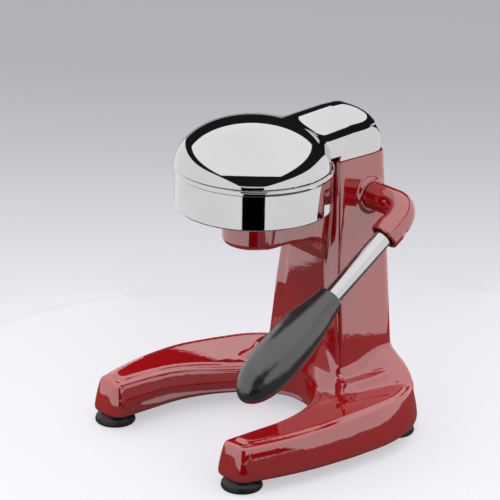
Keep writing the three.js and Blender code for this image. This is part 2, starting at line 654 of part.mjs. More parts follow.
function add(name, geometry, material) {
  const mesh = new THREE.Mesh(geometry, material);
  mesh.name = name;
  press.add(mesh);
}

add('body_casting', bodyCasting(), RED());
for (const { name, end, x, y } of footPlaces) {
  add(`suction_foot_${end}_${name}`, at(suctionFoot(), x, y, 0), RUBBER());
  add(`foot_screw_${end}_${name}`, at(footScrew(), x, y, 0), STEEL());
}
add('juice_bowl', bowl(), STAINLESS());
add('bowl_gasket', bowlGasket(), RUBBER());
add('strainer', strainer(), STAINLESS());
add('reamer_cone', reamerCone(), ALUMINIUM());
add('upper_rack_guide', guideBlock(GUIDE_UPPER_Z, 22.8), NYLON());
add('lower_rack_guide', guideBlock(GUIDE_LOWER_Z, 30), NYLON());
for (const [side, name] of [[-1, 'left'], [1, 'right']]) {
  add(`upper_guide_screw_${name}`, guideScrew(side, GUIDE_UPPER_Z + GUIDE_H + GAP + 2, -1), STEEL());
  add(`lower_guide_screw_${name}`, guideScrew(side, GUIDE_LOWER_Z - GAP - 2, 1), STEEL());
  add(`shaft_bush_${name}`, bush(side), BRONZE());
  add(`pinion_spacer_${name}`, spacer(side), STEEL());
  add(`rack_screw_${name}`, rackScrew(side), STEEL());
}
add('press_head', pressHead(), CHROME());
add('press_bell', pressBell(), ALUMINIUM());
add('bell_screw', bellScrew(), STEEL());
add('rack', rack(), STEEL());
add('pinion', pinion(), STEEL());
add('pinion_key', at(keyBox(0), 0, SHAFT_Y, SHAFT_Z), STEEL());
add('pinion_shaft', shaft(), STEEL());
add('shaft_end_washer', endWasher(), STEEL());
add('shaft_end_screw', endScrew(), STEEL());
add('lever_elbow', elbow(), RED());
add('elbow_grub_screw', grubScrew(), STEEL());
add('lever_rod', leverRod(), CHROME());
add('lever_grip', grip(), BLACK());

const juicer = new THREE.Group();
juicer.add(press);
export default juicer;
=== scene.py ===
"""Lever citrus press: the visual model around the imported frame.

Shapes are drawn in millimetres from the pressing axis, the vertical line through the bowl, and are
moved to the frame, in metres, when their mesh is made.
"""

import json
import math

import bpy
import numpy as np
from mathutils import Matrix, Vector


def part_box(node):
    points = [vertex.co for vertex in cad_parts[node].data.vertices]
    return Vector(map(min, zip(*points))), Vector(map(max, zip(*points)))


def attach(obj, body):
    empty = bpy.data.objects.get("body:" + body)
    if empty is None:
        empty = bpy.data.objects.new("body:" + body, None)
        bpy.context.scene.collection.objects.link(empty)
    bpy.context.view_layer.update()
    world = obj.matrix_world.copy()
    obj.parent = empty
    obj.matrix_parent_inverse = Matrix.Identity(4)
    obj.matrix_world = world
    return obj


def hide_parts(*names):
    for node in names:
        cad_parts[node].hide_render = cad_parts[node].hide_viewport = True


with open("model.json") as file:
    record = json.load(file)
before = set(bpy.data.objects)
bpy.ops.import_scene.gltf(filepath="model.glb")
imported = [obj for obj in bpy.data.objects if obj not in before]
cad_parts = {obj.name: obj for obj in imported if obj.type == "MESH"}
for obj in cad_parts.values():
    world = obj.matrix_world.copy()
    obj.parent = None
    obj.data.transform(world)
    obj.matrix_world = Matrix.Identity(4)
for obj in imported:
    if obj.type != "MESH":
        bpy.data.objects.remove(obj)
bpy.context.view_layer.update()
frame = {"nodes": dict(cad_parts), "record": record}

MM = 0.001
_bowl_lo, _bowl_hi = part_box("juice_bowl")
AXIS = np.array([(_bowl_lo.x + _bowl_hi.x) / 2, (_bowl_lo.y + _bowl_hi.y) / 2, 0.0])


def extent(node):
    """A CAD node's lowest and highest corner, in millimetres from the pressing axis."""
    lo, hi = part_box(node)
    return (np.array(lo) - AXIS) / MM, (np.array(hi) - AXIS) / MM


def middle(node):
    lo, hi = extent(node)
    return (lo + hi) / 2


# ---- Sizes from the frame ----
CAST_LO, CAST_HI = extent("body_casting")
BASE_HALF, BASE_REAR, COLUMN_TOP = CAST_HI
CAST_Z = CAST_LO[2] - 1  # the visible casting comes 1 mm lower over the feet
BOWL_LO, BOWL_HI = extent("juice_bowl")
HEAD_LO, HEAD_HI = extent("press_head")
SHAFT = middle("pinion_shaft") * [0, 1, 1]
ELBOW_LO = extent("lever_elbow")[0]
ROD_MID = middle("lever_rod")
LEVER_X = ROD_MID[0]
LEVER_DROP = math.atan2(SHAFT[2] - ROD_MID[2], SHAFT[1] - ROD_MID[1])
ALONG = np.array([0, -math.cos(LEVER_DROP), -math.sin(LEVER_DROP)])
FEET = [f"{end}_{side}" for end in ("front", "rear") for side in ("left", "right")]

# ---- Sizes of the visible shapes ----
GAP = 0.3  # play between neighbouring parts
SCREW_HOLE_R = 2.3
COLUMN_REAR = 111
COLUMN_HALF_TOP = 27.7
COLUMN_TAPER = 0.104
COLUMN_FRONT_TOP = 61.4
COLUMN_LEAN = 0.068
COLUMN_SHIFT = 1.5  # below the bosses the column's side away from the lever is in by twice this
WALL = 4
RIB_HALF = 22.5
RIB_FRONT = 53.7
RIB_REAR = 75
HOLDER_R = 23.4
HOLDER_Z = 154.3
ARM_TOP = 180
ARM_SWEEP = 16
ARM_SLOPE = 0.074  # the arm's underside rises towards the front
CUP_R = 19  # socket in the holder for the bowl
OUTLET_R = 13.2  # hole in the holder for the spout
BUSH_BORE_R = 9.3
PILLAR_R = 8  # pillars inside the hollow foot take the foot screws
GUIDE_LEDGE_X = 14
GUIDE_LEDGE_Y = 81
GUIDE_LEDGE_H = 14
BOSS_R = 12.6
BOSS_X = 33
DOME_R = 58.8
DOME_SHIFT = -1.5
DOME_Z = BOWL_HI[2] + GAP
DOME_H = HEAD_HI[2] - DOME_Z
CAP_Z = HEAD_LO[2]
CAP_HALF = 27.9
CAP_TOP = 247
CAP_REAR = 110.6
CAP_POWER = 4.2  # plan of the cap's rear end, between an ellipse and a rectangle
CAP_CENTRE = CAP_TOP - CAP_HALF
CAP_FALL = 0.07  # the crown falls towards the dome
HEAD_WALL = 3
HUB_R = 8  # hub inside the dome for the bell's screw
HUB_Z = 243.6


# ---- Fields: signed distance in millimetres, negative inside ----
def smooth_min(a, b, k):
    h = np.maximum(k - np.abs(a - b), 0) / k
    return np.minimum(a, b) - h * h * k / 4


def smooth_max(a, b, k):
    return -smooth_min(-a, -b, k)


def smooth_step(t):
    t = np.clip(t, 0, 1)
    return t * t * (3 - 2 * t)


def rounded_rect(x, y, half, front, rear, r_front, r_rear):
    """Plan distance to a rectangle with its own radius at the front and at the rear corners."""
    centre = (front + rear) / 2
    r = np.where(y < centre, r_front, r_rear)
    qx = np.abs(x) - half + r
    qy = np.abs(y - centre) - (rear - front) / 2 + r
    return np.minimum(np.maximum(qx, qy), 0) + np.hypot(np.maximum(qx, 0), np.maximum(qy, 0)) - r


class Graded:
    """A table of sizes against height, read with its corners smoothed."""

    def __init__(self, rows, spread):
        table = np.array(rows, float)
        self.z = np.arange(table[0, 0] - spread, table[-1, 0] + spread + 1)
        window = np.hanning(2 * spread + 1)[1:-1]
        window /= window.sum()
        self.columns = []
        for column in table.T[1:]:
            line = np.interp(self.z, table[:, 0], column)
            padded = np.pad(line, len(window) // 2, mode="edge")
            self.columns.append(np.convolve(padded, window, "valid"))

    def __call__(self, z):
        return [np.interp(z, self.z, column) for column in self.columns]


# ---- Outline of the horseshoe foot ----
SIDE_HALF = BASE_HALF - 0.7  # half width of the foot at its widest
SIDE_BOW = 0.0018  # the legs curve in towards their tips
TIP_Y = -86
REAR_START = 14
REAR_POWER = 3
REAR_TAPER = 0.07
REAR_SHIFT = 3.5  # the rear sits a little towards the lever
ARCH_HALF = 57.3
ARCH_START = -33
ARCH_APEX = 50.4
ARCH_POWER = 1.8
TIP_CORNER = 11


def horseshoe_outline():
    """Points round the foot's plan: arch, right leg's tip, right side, rear, and the same mirrored."""
    a = np.linspace(0, math.pi / 2, 41)
    rise = ARCH_APEX - ARCH_START
    arch = np.stack([ARCH_HALF * np.sin(a) ** (2 / ARCH_POWER),
                     ARCH_START + rise * np.cos(a) ** (2 / ARCH_POWER)], 1)

    def side(y):
        return SIDE_HALF - SIDE_BOW * np.maximum(0, REAR_START - y) ** 2

    corner_y = TIP_Y + TIP_CORNER
    turns = np.linspace(0, math.pi / 2, 13)
    inner = np.stack([ARCH_HALF + TIP_CORNER * (1 - np.cos(turns)),
                      corner_y - TIP_CORNER * np.sin(turns)], 1)
    outer = np.stack([side(corner_y) - TIP_CORNER * (1 - np.sin(turns)),
                      corner_y - TIP_CORNER * np.cos(turns)], 1)
    y = np.linspace(corner_y, REAR_START, 30)[1:]
    flank = np.stack([side(y), y], 1)
    back = (BASE_REAR - REAR_START) * np.sin(a) ** (2 / REAR_POWER)
    rear_half = (SIDE_HALF - REAR_TAPER * back) * np.cos(a) ** (2 / REAR_POWER)
    rear = np.stack([rear_half, REAR_START + back], 1)[1:]
    half = np.concatenate([arch, inner, outer, flank, rear])
    mirrored = (half * [-1, 1])[::-1][1:-1]
    whole = np.concatenate([half, mirrored])
    beyond_arch = np.hypot(whole[:, 0] / ARCH_HALF, np.maximum(whole[:, 1], 0) / ARCH_APEX) > 1.15
    whole[:, 0] += REAR_SHIFT * smooth_step(whole[:, 1] / 60) * beyond_arch
    return whole


class PlanDistance:
    """Signed distance to a closed plan outline, held on a grid and read with a smooth kernel."""

    def __init__(self, outline, margin=12, step=1.0):
        self.lo = outline.min(0) - margin
        self.step = step
        size = np.ceil((outline.max(0) + margin - self.lo) / step).astype(int) + 1
        x = self.lo[0] + step * np.arange(size[0])
        y = self.lo[1] + step * np.arange(size[1])
        px, py = np.meshgrid(x, y, indexing="ij")
        nearest = np.full(px.shape, 1e9)
        inside = np.zeros(px.shape, bool)
        for a, b in zip(outline, np.roll(outline, -1, 0)):
            d = b - a
            t = np.clip(((px - a[0]) * d[0] + (py - a[1]) * d[1]) / (d @ d), 0, 1)
            gap = np.hypot(px - a[0] - t * d[0], py - a[1] - t * d[1])
            nearest = np.minimum(nearest, gap)
            if a[1] != b[1]:
                between = (py >= min(a[1], b[1])) & (py < max(a[1], b[1]))
                inside ^= between & (px < a[0] + (py - a[1]) * d[0] / d[1])
        self.grid = np.where(inside, -nearest, nearest)

    def __call__(self, x, y):
        i, wx = self.taps(x, 0)
        j, wy = self.taps(y, 1)
        total = 0
        for di in range(3):
            for dj in range(3):
                total = total + wx[di] * wy[dj] * self.grid[i + di, j + dj]
        return total

    def taps(self, p, axis):
        u = np.clip((p - self.lo[axis]) / self.step, 1, self.grid.shape[axis] - 2.001)
        i = np.rint(u).astype(int)
        t = u - i
        return i - 1, [0.5 * (0.5 - t) ** 2, 0.75 - t * t, 0.5 * (0.5 + t) ** 2]


# ---- Stand casting ----
DRAFT = 0.12  # slope of the foot's walls at the bottom
DRAFT_GAIN = 0.0041  # the walls lean in more towards the top
DRAFT_FROM = 12.5
LEDGE_Z = 36.6
LEDGE_LIFT = 2.4  # towards the rear the top rises on the lever's side and falls on the other
CROWN_STEP = 1.8  # height of the crown above the ledge round the foot's edge
CROWN_INSET = 9.2
CROWN_SLOPE = 0.6
TIP_LEDGE = 13  # the ledge is wider across the leg's tip
CROWN_TILT = (0.05, 0.165)  # the top falls towards the arch, more so at the rear
SKIRT_INSET = 3.4
# The skirt sweeps from the column out over the foot: height, half width at the sides, front, rear,
# rear corner and how much wider it is at the rear.
SKIRT = Graded([
    [28, 66, 36, 119, 18, 22], [36, 57, 43, 118.5, 17, 22], [41, 50, 48, 117.5, 16, 19],
    [47, 44.4, 49.8, 114.5, 15, 14], [56, 37, 52, 111, 14, 7], [63, 30, 54, 108, 12, 0],
    [69, 27, 56, 106, 12, 0], [78, 25, 58, 104, 12, 0], [92, 20, 60, 102, 12, 0],
], 3)
SKIRT_WIDENING = 0.1
PLINTH_Z = 42.3
PLINTH_RISE = 2.5  # the plinth rises towards the rear
PLINTH_SLOPE = 0.8
PLINTH_HALF = 56.5
PLINTH_FRONT = 50
PLINTH_REAR = 116
# Front of the column: its upper part leans and its lower part is nearly upright.
COLUMN_FRONT = Graded([
    [-10, 50.5], [100, 53.8], [COLUMN_TOP + 20, COLUMN_FRONT_TOP + 20 * COLUMN_LEAN],
], 6)
plan = PlanDistance(horseshoe_outline())


def foot_field(x, y, z, edge):
    """Tapered walls up to a sloping top, with the crown as a small step on it."""
    above = np.maximum(z - DRAFT_FROM, 0)
    wall = (edge + (DRAFT + DRAFT_GAIN * above) * above) / math.hypot(1, DRAFT)
    lift = smooth_step((y + 60) / 100) * (LEDGE_LIFT * np.clip(x / 60, -1, 1) - 0.4)
    tilt = CROWN_TILT[0] + (CROWN_TILT[1] - CROWN_TILT[0]) * smooth_step((y + 60) / 110)
    top = z - LEDGE_Z - lift - tilt * np.clip(np.abs(x) - 93, -38, 6)
    low = smooth_max(wall, top, 3.4)
    step = smooth_max(edge + CROWN_INSET, TIP_Y + TIP_LEDGE - y, 6) + CROWN_SLOPE * np.maximum(top, -2)
    crown = smooth_max(step / math.hypot(1, CROWN_SLOPE), top - CROWN_STEP, 1.8)
    whole = smooth_min(low, crown, 1.3)
    return smooth_max(whole, CAST_Z - z, 3)


def inner_limit(z, edge):
    """Keeps what stands on the foot inside the foot's edge."""
    return edge + SKIRT_INSET + 0.22 * np.maximum(z - 34, 0) + 0.5 * np.maximum(34 - z, 0)


def skirt_field(x, y, z, edge):
    """Sweep from the column out over the foot."""
    half, front, rear, corner, widening = SKIRT(z)
    half = half + SKIRT_WIDENING * np.clip(y - 60, -20, 15) + widening * smooth_step((y - 70) / 34)
    body = rounded_rect(x, y, half, front, rear, 7, corner)
    body = smooth_max(body, z - 90, 4)
    return smooth_max(body, inner_limit(z, edge), 9)


def plinth_field(x, y, z, edge):
    """Low step on the foot round the bottom of the column."""
    half = PLINTH_HALF + 0.2 * np.clip(y - 60, -20, 40)
    body = rounded_rect(x, y, half, PLINTH_FRONT, PLINTH_REAR, 8, 22)
    body = (body + PLINTH_SLOPE * np.maximum(z - PLINTH_Z, -6)) / math.hypot(1, PLINTH_SLOPE)
    body = smooth_max(body, inner_limit(z, edge), 4)
    return smooth_max(body, z - PLINTH_Z - PLINTH_RISE * smooth_step((y - 60) / 40), 1.6)


def column_field(x, y, z, inset=0):
    half = COLUMN_HALF_TOP + COLUMN_TAPER * (COLUMN_TOP - z) - inset
    front, = COLUMN_FRONT(z)
    narrowed = COLUMN_SHIFT * smooth_step((200 - z) / 80)
    half = half - narrowed
    x = x - narrowed
    return rounded_rect(x, y, half, front + inset, COLUMN_REAR - inset, 5, 10 - inset / 2)


def arm_field(x, y, z):
    """Rib down the column's front and the arm that carries the holder, in one swept outline."""
    underside = HOLDER_Z - 2.3 + ARM_SLOPE * (RIB_FRONT - ARM_SWEEP - y)
    arm = np.maximum(underside - z, -y - 4)
    rib = RIB_FRONT - y
    side_view = smooth_min(arm, rib, ARM_SWEEP * 1.17)
    side_view = np.maximum(side_view, np.maximum(z - ARM_TOP, y - RIB_REAR))
    return smooth_max(side_view, np.abs(x) - RIB_HALF, 3.6)


def holder_field(x, y, z):
    reach = np.hypot(x, y) - HOLDER_R
    return smooth_max(reach, np.maximum(HOLDER_Z - z, z - ARM_TOP), 5)


def boss_field(x, y, z):
    reach = np.hypot(y - SHAFT[1], z - SHAFT[2]) - BOSS_R
    return smooth_max(reach, np.abs(x) - BOSS_X, 2.6)


def from_axis_of(node, x, y):
    """Plan distance from an upright node's axis."""
    cx, cy, _ = middle(node)
    return np.hypot(x - cx, y - cy)


def pocket_field(x, y, z, edge):
    """Hollow under the foot, with a pillar left round each foot screw."""
    hollow = smooth_max(edge + 6 + 0.3 * (z - 12), z - 24, 4)
    for name in FEET:
        hollow = smooth_max(hollow, PILLAR_R - from_axis_of(f"foot_screw_{name}", x, y), 3)
    return hollow


def well_field(x, y, z):
    """Inside of the column, with the ledges that carry the rack guides."""
    well = column_field(x, y, z, WALL - 0.6)
    upper = extent("upper_rack_guide")[0][2]
    lower = extent("lower_rack_guide")[1][2]
    half = GUIDE_LEDGE_H / 2
    for centre in (upper - GAP - half, lower + GAP + half):
        plan_view = np.maximum(GUIDE_LEDGE_X - np.abs(x), y - GUIDE_LEDGE_Y)
        ledge = np.maximum(np.abs(z - centre) - half, plan_view)
        well = np.maximum(well, -ledge)
    return well


def casting_field(x, y, z):
    edge = plan(x, y)
    column = smooth_max(column_field(x, y, z), z - COLUMN_TOP, 0.8)
    upper = smooth_min(column, skirt_field(x, y, z, edge), 4)
    upper = smooth_min(upper, plinth_field(x, y, z, edge), 2.5)
    body = smooth_min(foot_field(x, y, z, edge), upper, 2.5)
    body = smooth_min(body, arm_field(x, y, z), 2.2)
    body = smooth_min(body, holder_field(x, y, z), 2.5)
    body = smooth_min(body, boss_field(x, y, z), 4)
    body = smooth_max(body, CAST_Z - z, 0.5)
    hollow = np.minimum(pocket_field(x, y, z, edge), well_field(x, y, z))
    bush = np.hypot(y - SHAFT[1], z - SHAFT[2]) - BUSH_BORE_R
    cup = np.maximum(np.hypot(x, y) - CUP_R, HOLDER_Z + 4 - z)
    outlet = np.maximum(np.hypot(x, y) - OUTLET_R, np.abs(z - HOLDER_Z - 10) - 20)
    hollow = np.minimum(np.minimum(hollow, bush), np.minimum(cup, outlet))
    for name in FEET:
        hole = from_axis_of(f"foot_screw_{name}", x, y) - SCREW_HOLE_R
        hollow = np.minimum(hollow, np.maximum(hole, z - 23))
    return smooth_max(body, -hollow, 1.2)


# ---- Press head ----
def dome_field(x, y, z, shrink=0.0):
    """Half ellipsoid over the bowl."""
    radii = (DOME_R - shrink, DOME_R - shrink, DOME_H - shrink)
    q = [(x, y - DOME_SHIFT, z - DOME_Z)[i] / radii[i] for i in range(3)]
    k0 = np.sqrt(q[0] ** 2 + q[1] ** 2 + q[2] ** 2)
    k1 = np.sqrt(sum((q[i] / radii[i]) ** 2 for i in range(3)))
    return k0 * (k0 - 1) / np.maximum(k1, 1e-6)


def cap_field(x, y, z):
    """Arched cap over the column, round at its rear end."""
    rise = CAP_HALF - CAP_FALL * np.maximum(74 - y, 0)
    u = np.abs(x) / CAP_HALF
    w = np.maximum(y - CAP_REAR + CAP_HALF, 0) / CAP_HALF
    v = np.maximum(z - CAP_CENTRE, 0) / rise
    section = (u ** CAP_POWER + w ** CAP_POWER) ** (2 / CAP_POWER)
    body = (np.sqrt(section + v * v) - 1) * CAP_HALF
    return np.maximum(body, 4 - y)


def head_field(x, y, z):
    shell = smooth_min(dome_field(x, y, z), cap_field(x, y, z), 4.5)
    front_of_column = COLUMN_TOP - 150.2
    shell = smooth_max(shell, np.minimum(DOME_Z - z, front_of_column - y), 0.6)
    shell = smooth_max(shell, CAP_Z - z, 0.6)
    inner = dome_field(x, y, z, HEAD_WALL)
    hub = np.maximum(np.hypot(x, y - DOME_SHIFT) - HUB_R, HUB_Z - z)
    inner = np.maximum(inner, -hub)
    screw = np.hypot(x, y - DOME_SHIFT) - SCREW_HOLE_R
    inner = np.minimum(inner, np.maximum(screw, z - 248.5))
    flange_top = extent("rack")[1][2]
    well = np.maximum(np.abs(x) - 23.6, np.abs(y - 85.5) - 20.5)
    well = np.maximum(well, z - 232)
    mount = np.maximum(np.maximum(np.abs(x) - 16, y - 83), flange_top + GAP - z)
    well = np.maximum(well, -mount)
    for side in ("left", "right"):
        hole = from_axis_of(f"rack_screw_{side}", x, y) - SCREW_HOLE_R
        well = np.minimum(well, np.maximum(hole, z - flange_top - 9.3))
    return smooth_max(shell, -np.minimum(inner, well), 0.8)


# ---- Mesh making ----
CORNERS = np.array([(i, j, k) for i in (0, 1) for j in (0, 1) for k in (0, 1)])
CELL_EDGES = [(a, b) for a in range(8) for b in range(a + 1, 8)
              if np.abs(CORNERS[a] - CORNERS[b]).sum() == 1]


def slope(field, p, h=0.04):
    """Gradient of the field at each point."""
    steps = np.eye(3) * h
    return np.stack([(field(*(p + s).T) - field(*(p - s).T)) / (2 * h) for s in steps], 1)


def skin(field, lo, hi, step):
    """Quads over the field's zero level: a vertex in each crossed cell, moved onto the surface."""
    axes = [np.arange(a, b + step, step) for a, b in zip(lo, hi)]
    value = field(*np.meshgrid(*axes, indexing="ij"))
    inside = value < 0
    size = np.array(value.shape) - 1
    count = sum(inside[i:size[0] + i, j:size[1] + j, k:size[2] + k].astype(np.int8) for i, j, k in CORNERS)
    cells = np.argwhere((count > 0) & (count < 8))
    index = np.full(size, -1)
    index[tuple(cells.T)] = np.arange(len(cells))
    at_corner = np.stack([value[tuple((cells + c).T)] for c in CORNERS], 1)
    total = np.zeros((len(cells), 3))
    crossings = np.zeros(len(cells))
    for a, b in CELL_EDGES:
        va, vb = at_corner[:, a], at_corner[:, b]
        crossed = (va < 0) != (vb < 0)
        t = np.where(crossed, va / np.where(crossed, va - vb, 1), 0)[:, None]
        point = CORNERS[a] + t * (CORNERS[b] - CORNERS[a])
        total += np.where(crossed[:, None], point, 0)
        crossings += crossed
    points = np.array(lo) + step * (cells + total / crossings[:, None])

    quads = []
    for axis in range(3):
        u, v = (axis + 1) % 3, (axis + 2) % 3
        first = [slice(1, -1)] * 3
        first[axis] = slice(0, -1)
        second = list(first)
        second[axis] = slice(1, None)
        change = inside[tuple(first)].astype(np.int8) - inside[tuple(second)].astype(np.int8)
        for sign in (1, -1):
            base = np.argwhere(change == sign)
            base[:, [u, v]] += 1
            du, dv = np.eye(3, dtype=int)[u], np.eye(3, dtype=int)[v]
            ring = [base - du - dv, base - dv, base, base - du]
            quad = np.stack([index[tuple(r.T)] for r in ring], 1)
            quads.append(quad if sign > 0 else quad[:, ::-1])
    for _ in range(3):
        g = slope(field, points)
        steep = np.maximum((g * g).sum(1), 0.05)
        move = -(field(*points.T) / steep)[:, None] * g
        length = np.linalg.norm(move, axis=1, keepdims=True)
        points = points + move * np.minimum(1, 0.6 * step / np.maximum(length, 1e-9))
    normals = slope(field, points)
    return points, np.concatenate(quads), normals / np.linalg.norm(normals, axis=1, keepdims=True)


def new_mesh(name, points, faces, even_normals=True):
    """Object with smooth shading from points in millimetres."""
    mesh = bpy.data.meshes.new(name)
    mesh.from_pydata((np.asarray(points) * MM + AXIS).tolist(), [], [list(map(int, f)) for f in faces])
    mesh.validate()
    mesh.shade_smooth()
    obj = bpy.data.objects.new(name, mesh)
    bpy.context.scene.collection.objects.link(obj)
    if even_normals:
        obj.modifiers.new("even_normals", "WEIGHTED_NORMAL")
    return obj


def piece(obj, material, body, slot, *replaced):
    """Gives a piece its material and its body, and hides the CAD nodes it stands for; slot is not used."""
    obj.data.materials.clear()
    obj.data.materials.append(material)
    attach(obj, body)
    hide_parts(*replaced)
    return obj


def rounded(outline, steps=5):
    """Outline with its corners turned into arcs: each point is (r, z) or (r, z, corner radius)."""
    result = []
    for i, point in enumerate(outline):
        p = np.array(point[:2], float)
        if len(point) < 3 or i in (0, len(outline) - 1):
            result.append(p)
            continue
        to_a = np.array(outline[i - 1][:2]) - p
        to_b = np.array(outline[i + 1][:2]) - p
        reach = 0.49 * min(np.linalg.norm(to_a), np.linalg.norm(to_b))
        to_a = to_a / np.linalg.norm(to_a)
        to_b = to_b / np.linalg.norm(to_b)
        half = math.acos(np.clip(to_a @ to_b, -1, 1)) / 2
        cut = min(point[2] / math.tan(half), reach)
        radius = cut * math.tan(half)
        centre = p + (to_a + to_b) / np.linalg.norm(to_a + to_b) * radius / math.sin(half)
        start, end = p + to_a * cut - centre, p + to_b * cut - centre
        turn = math.atan2(start[0] * end[1] - start[1] * end[0], start @ end)
        for k in range(steps + 1):
            a = turn * k / steps
            result.append(centre + [start[0] * math.cos(a) - start[1] * math.sin(a),
                                    start[0] * math.sin(a) + start[1] * math.cos(a)])
    return np.array(result)


def rings(name, circles, closed=False):
    """Skin over rings of equal count, or of one point at an end; closed joins the last to the first."""
    points, faces, starts = [], [], []
    for circle in circles:
        starts.append(len(points))
        points.extend(circle)
    pairs = list(zip(range(len(circles) - 1), range(1, len(circles))))
    if closed:
        pairs.append((len(circles) - 1, 0))
    for i, j in pairs:
        a, b, na, nb = starts[i], starts[j], len(circles[i]), len(circles[j])
        n = max(na, nb)
        for k in range(n):
            m = (k + 1) % n
            if na == 1:
                faces.append((a, b + m, b + k))
            elif nb == 1:
                faces.append((a + k, a + m, b))
            else:
                faces.append((a + k, a + m, b + m, b + k))
    return new_mesh(name, points, faces)


def turned(name, outline, segments=96, place=None, closed=False):
    """Turned piece about Z, from an outline up its outside; place maps its points."""
    angles = 2 * math.pi * np.arange(segments) / segments
    circles = []
    for r, z in rounded(outline):
        if r < 1e-6:
            circle = np.array([[0, 0, z]])
        else:
            circle = np.stack([r * np.cos(angles), r * np.sin(angles), np.full(segments, z)], 1)
        circles.append(place(circle) if place else circle)
    return rings(name, circles, closed)


def shifted(x, y, z=0):
    return lambda p: p + [x, y, z]


def on_lever(p):
    """Turned about Z, laid along the lever with its height measured from the shaft axis."""
    across = np.cross(ALONG, [1, 0, 0])
    return [LEVER_X, SHAFT[1], SHAFT[2]] + np.outer(p[:, 0], [1, 0, 0]) + np.outer(p[:, 1], -across) \
        + np.outer(p[:, 2], ALONG)


def on_shaft(p):
    """Turned about Z, laid along the shaft towards -X, its height measured from the middle."""
    return SHAFT + np.stack([-p[:, 2], p[:, 1], p[:, 0]], 1)


# ---- Materials ----
class Surface:
    """A principled material with its procedural nodes in object space."""

    def __init__(self, name, **sockets):
        self.material = bpy.data.materials.new(name)
        self.material.use_nodes = True
        self.nodes = self.material.node_tree.nodes
        self.shader = self.nodes["Principled BSDF"]
        for key, value in sockets.items():
            socket = self.shader.inputs[key.replace("_", " ")]
            socket.default_value = (*value, 1) if isinstance(value, tuple) else value
        self.place = self.nodes.new("ShaderNodeTexCoord").outputs["Object"]
        self.bump = None

    def link(self, a, b):
        self.material.node_tree.links.new(a, b)

    def noise(self, scale, detail=2.0, roughness=0.5, stretch=None):
        """Noise with scale features in a metre; stretch scales the axes."""
        node = self.nodes.new("ShaderNodeTexNoise")
        node.inputs["Scale"].default_value = scale
        node.inputs["Detail"].default_value = detail
        node.inputs["Roughness"].default_value = roughness
        source = self.place
        if stretch:
            mapping = self.nodes.new("ShaderNodeMapping")
            mapping.inputs["Scale"].default_value = stretch
            self.link(source, mapping.inputs["Vector"])
            source = mapping.outputs["Vector"]
        self.link(source, node.inputs["Vector"])
        return node.outputs["Fac"]

    def spread(self, fac, lo, hi, low_in=0.3, high_in=0.7):
        """Maps a noise value to a range."""
        node = self.nodes.new("ShaderNodeMapRange")
        node.inputs["From Min"].default_value = low_in
        node.inputs["From Max"].default_value = high_in
        node.inputs["To Min"].default_value = lo
        node.inputs["To Max"].default_value = hi
        self.link(fac, node.inputs["Value"])
        return node.outputs["Result"]

    def vary_colour(self, fac, first, second, low_in=0.35, high_in=0.65):
        node = self.nodes.new("ShaderNodeMix")
        node.data_type = "RGBA"
        node.inputs["A"].default_value = (*first, 1)
        node.inputs["B"].default_value = (*second, 1)
        self.link(self.spread(fac, 0, 1, low_in, high_in), node.inputs["Factor"])
        self.link(node.outputs["Result"], self.shader.inputs["Base Color"])
        return self

    def vary_roughness(self, fac, lo, hi):
        self.link(self.spread(fac, lo, hi), self.shader.inputs["Roughness"])
        return self

    def relief(self, fac, depth, coat=False):
        """Adds a bump of that depth in metres."""
        node = self.nodes.new("ShaderNodeBump")
        node.inputs["Strength"].default_value = 1
        node.inputs["Distance"].default_value = depth
        self.link(fac, node.inputs["Height"])
        if self.bump:
            self.link(self.bump, node.inputs["Normal"])
        self.bump = node.outputs["Normal"]
        self.link(self.bump, self.shader.inputs["Normal"])
        if coat:
            self.link(self.bump, self.shader.inputs["Coat Normal"])
        return self


def red_enamel():
    s = Surface("red_enamel", Roughness=0.32, Specular_IOR_Level=0.0,
                Coat_Weight=1.0, Coat_Roughness=0.035, Coat_IOR=2.48)
    s.vary_colour(s.noise(14, 3), (0.43, 0.0038, 0.0055), (0.49, 0.0052, 0.0075))
    s.vary_roughness(s.noise(60, 2), 0.28, 0.36)
    s.relief(s.noise(55, 1), 0.00004, coat=True)
    s.relief(s.noise(330, 2), 0.000022, coat=True)
    return s.material


def chrome(name, wave, roughness):
    s = Surface(name, Metallic=1.0, Roughness=roughness)
    s.vary_colour(s.noise(25, 2), (0.63, 0.63, 0.64), (0.66, 0.66, 0.665))
    s.vary_roughness(s.noise(140, 4), roughness * 0.7, roughness * 1.5)
    s.relief(s.noise(38, 1), wave)
    return s.material


def satin_plastic():
    s = Surface("satin_plastic", Roughness=0.22, IOR=2.0)
    s.vary_colour(s.noise(35, 3), (0.018, 0.019, 0.021), (0.024, 0.025, 0.028))
    s.vary_roughness(s.noise(180, 3), 0.19, 0.25)
    s.relief(s.noise(2200, 2), 0.000006)
    return s.material


def moulded_rubber():
    s = Surface("moulded_rubber", Roughness=0.35, IOR=1.5)
    s.vary_colour(s.noise(60, 3), (0.008, 0.008, 0.009), (0.014, 0.014, 0.015))
    s.vary_roughness(s.noise(220, 3), 0.28, 0.45)
    s.relief(s.noise(900, 2), 0.000012)
    return s.material


def machined(name, first, second, roughness, metallic=1.0, grain=(1, 1, 12)):
    """Machined metal or plastic with fine tool marks across one axis."""
    s = Surface(name, Metallic=metallic, Roughness=roughness)
    s.vary_colour(s.noise(70, 4), first, second)
    marks = s.noise(260, 3, 0.6, grain)
    s.vary_roughness(marks, roughness * 0.8, roughness * 1.25)
    s.relief(marks, 0.000010)
    return s.material


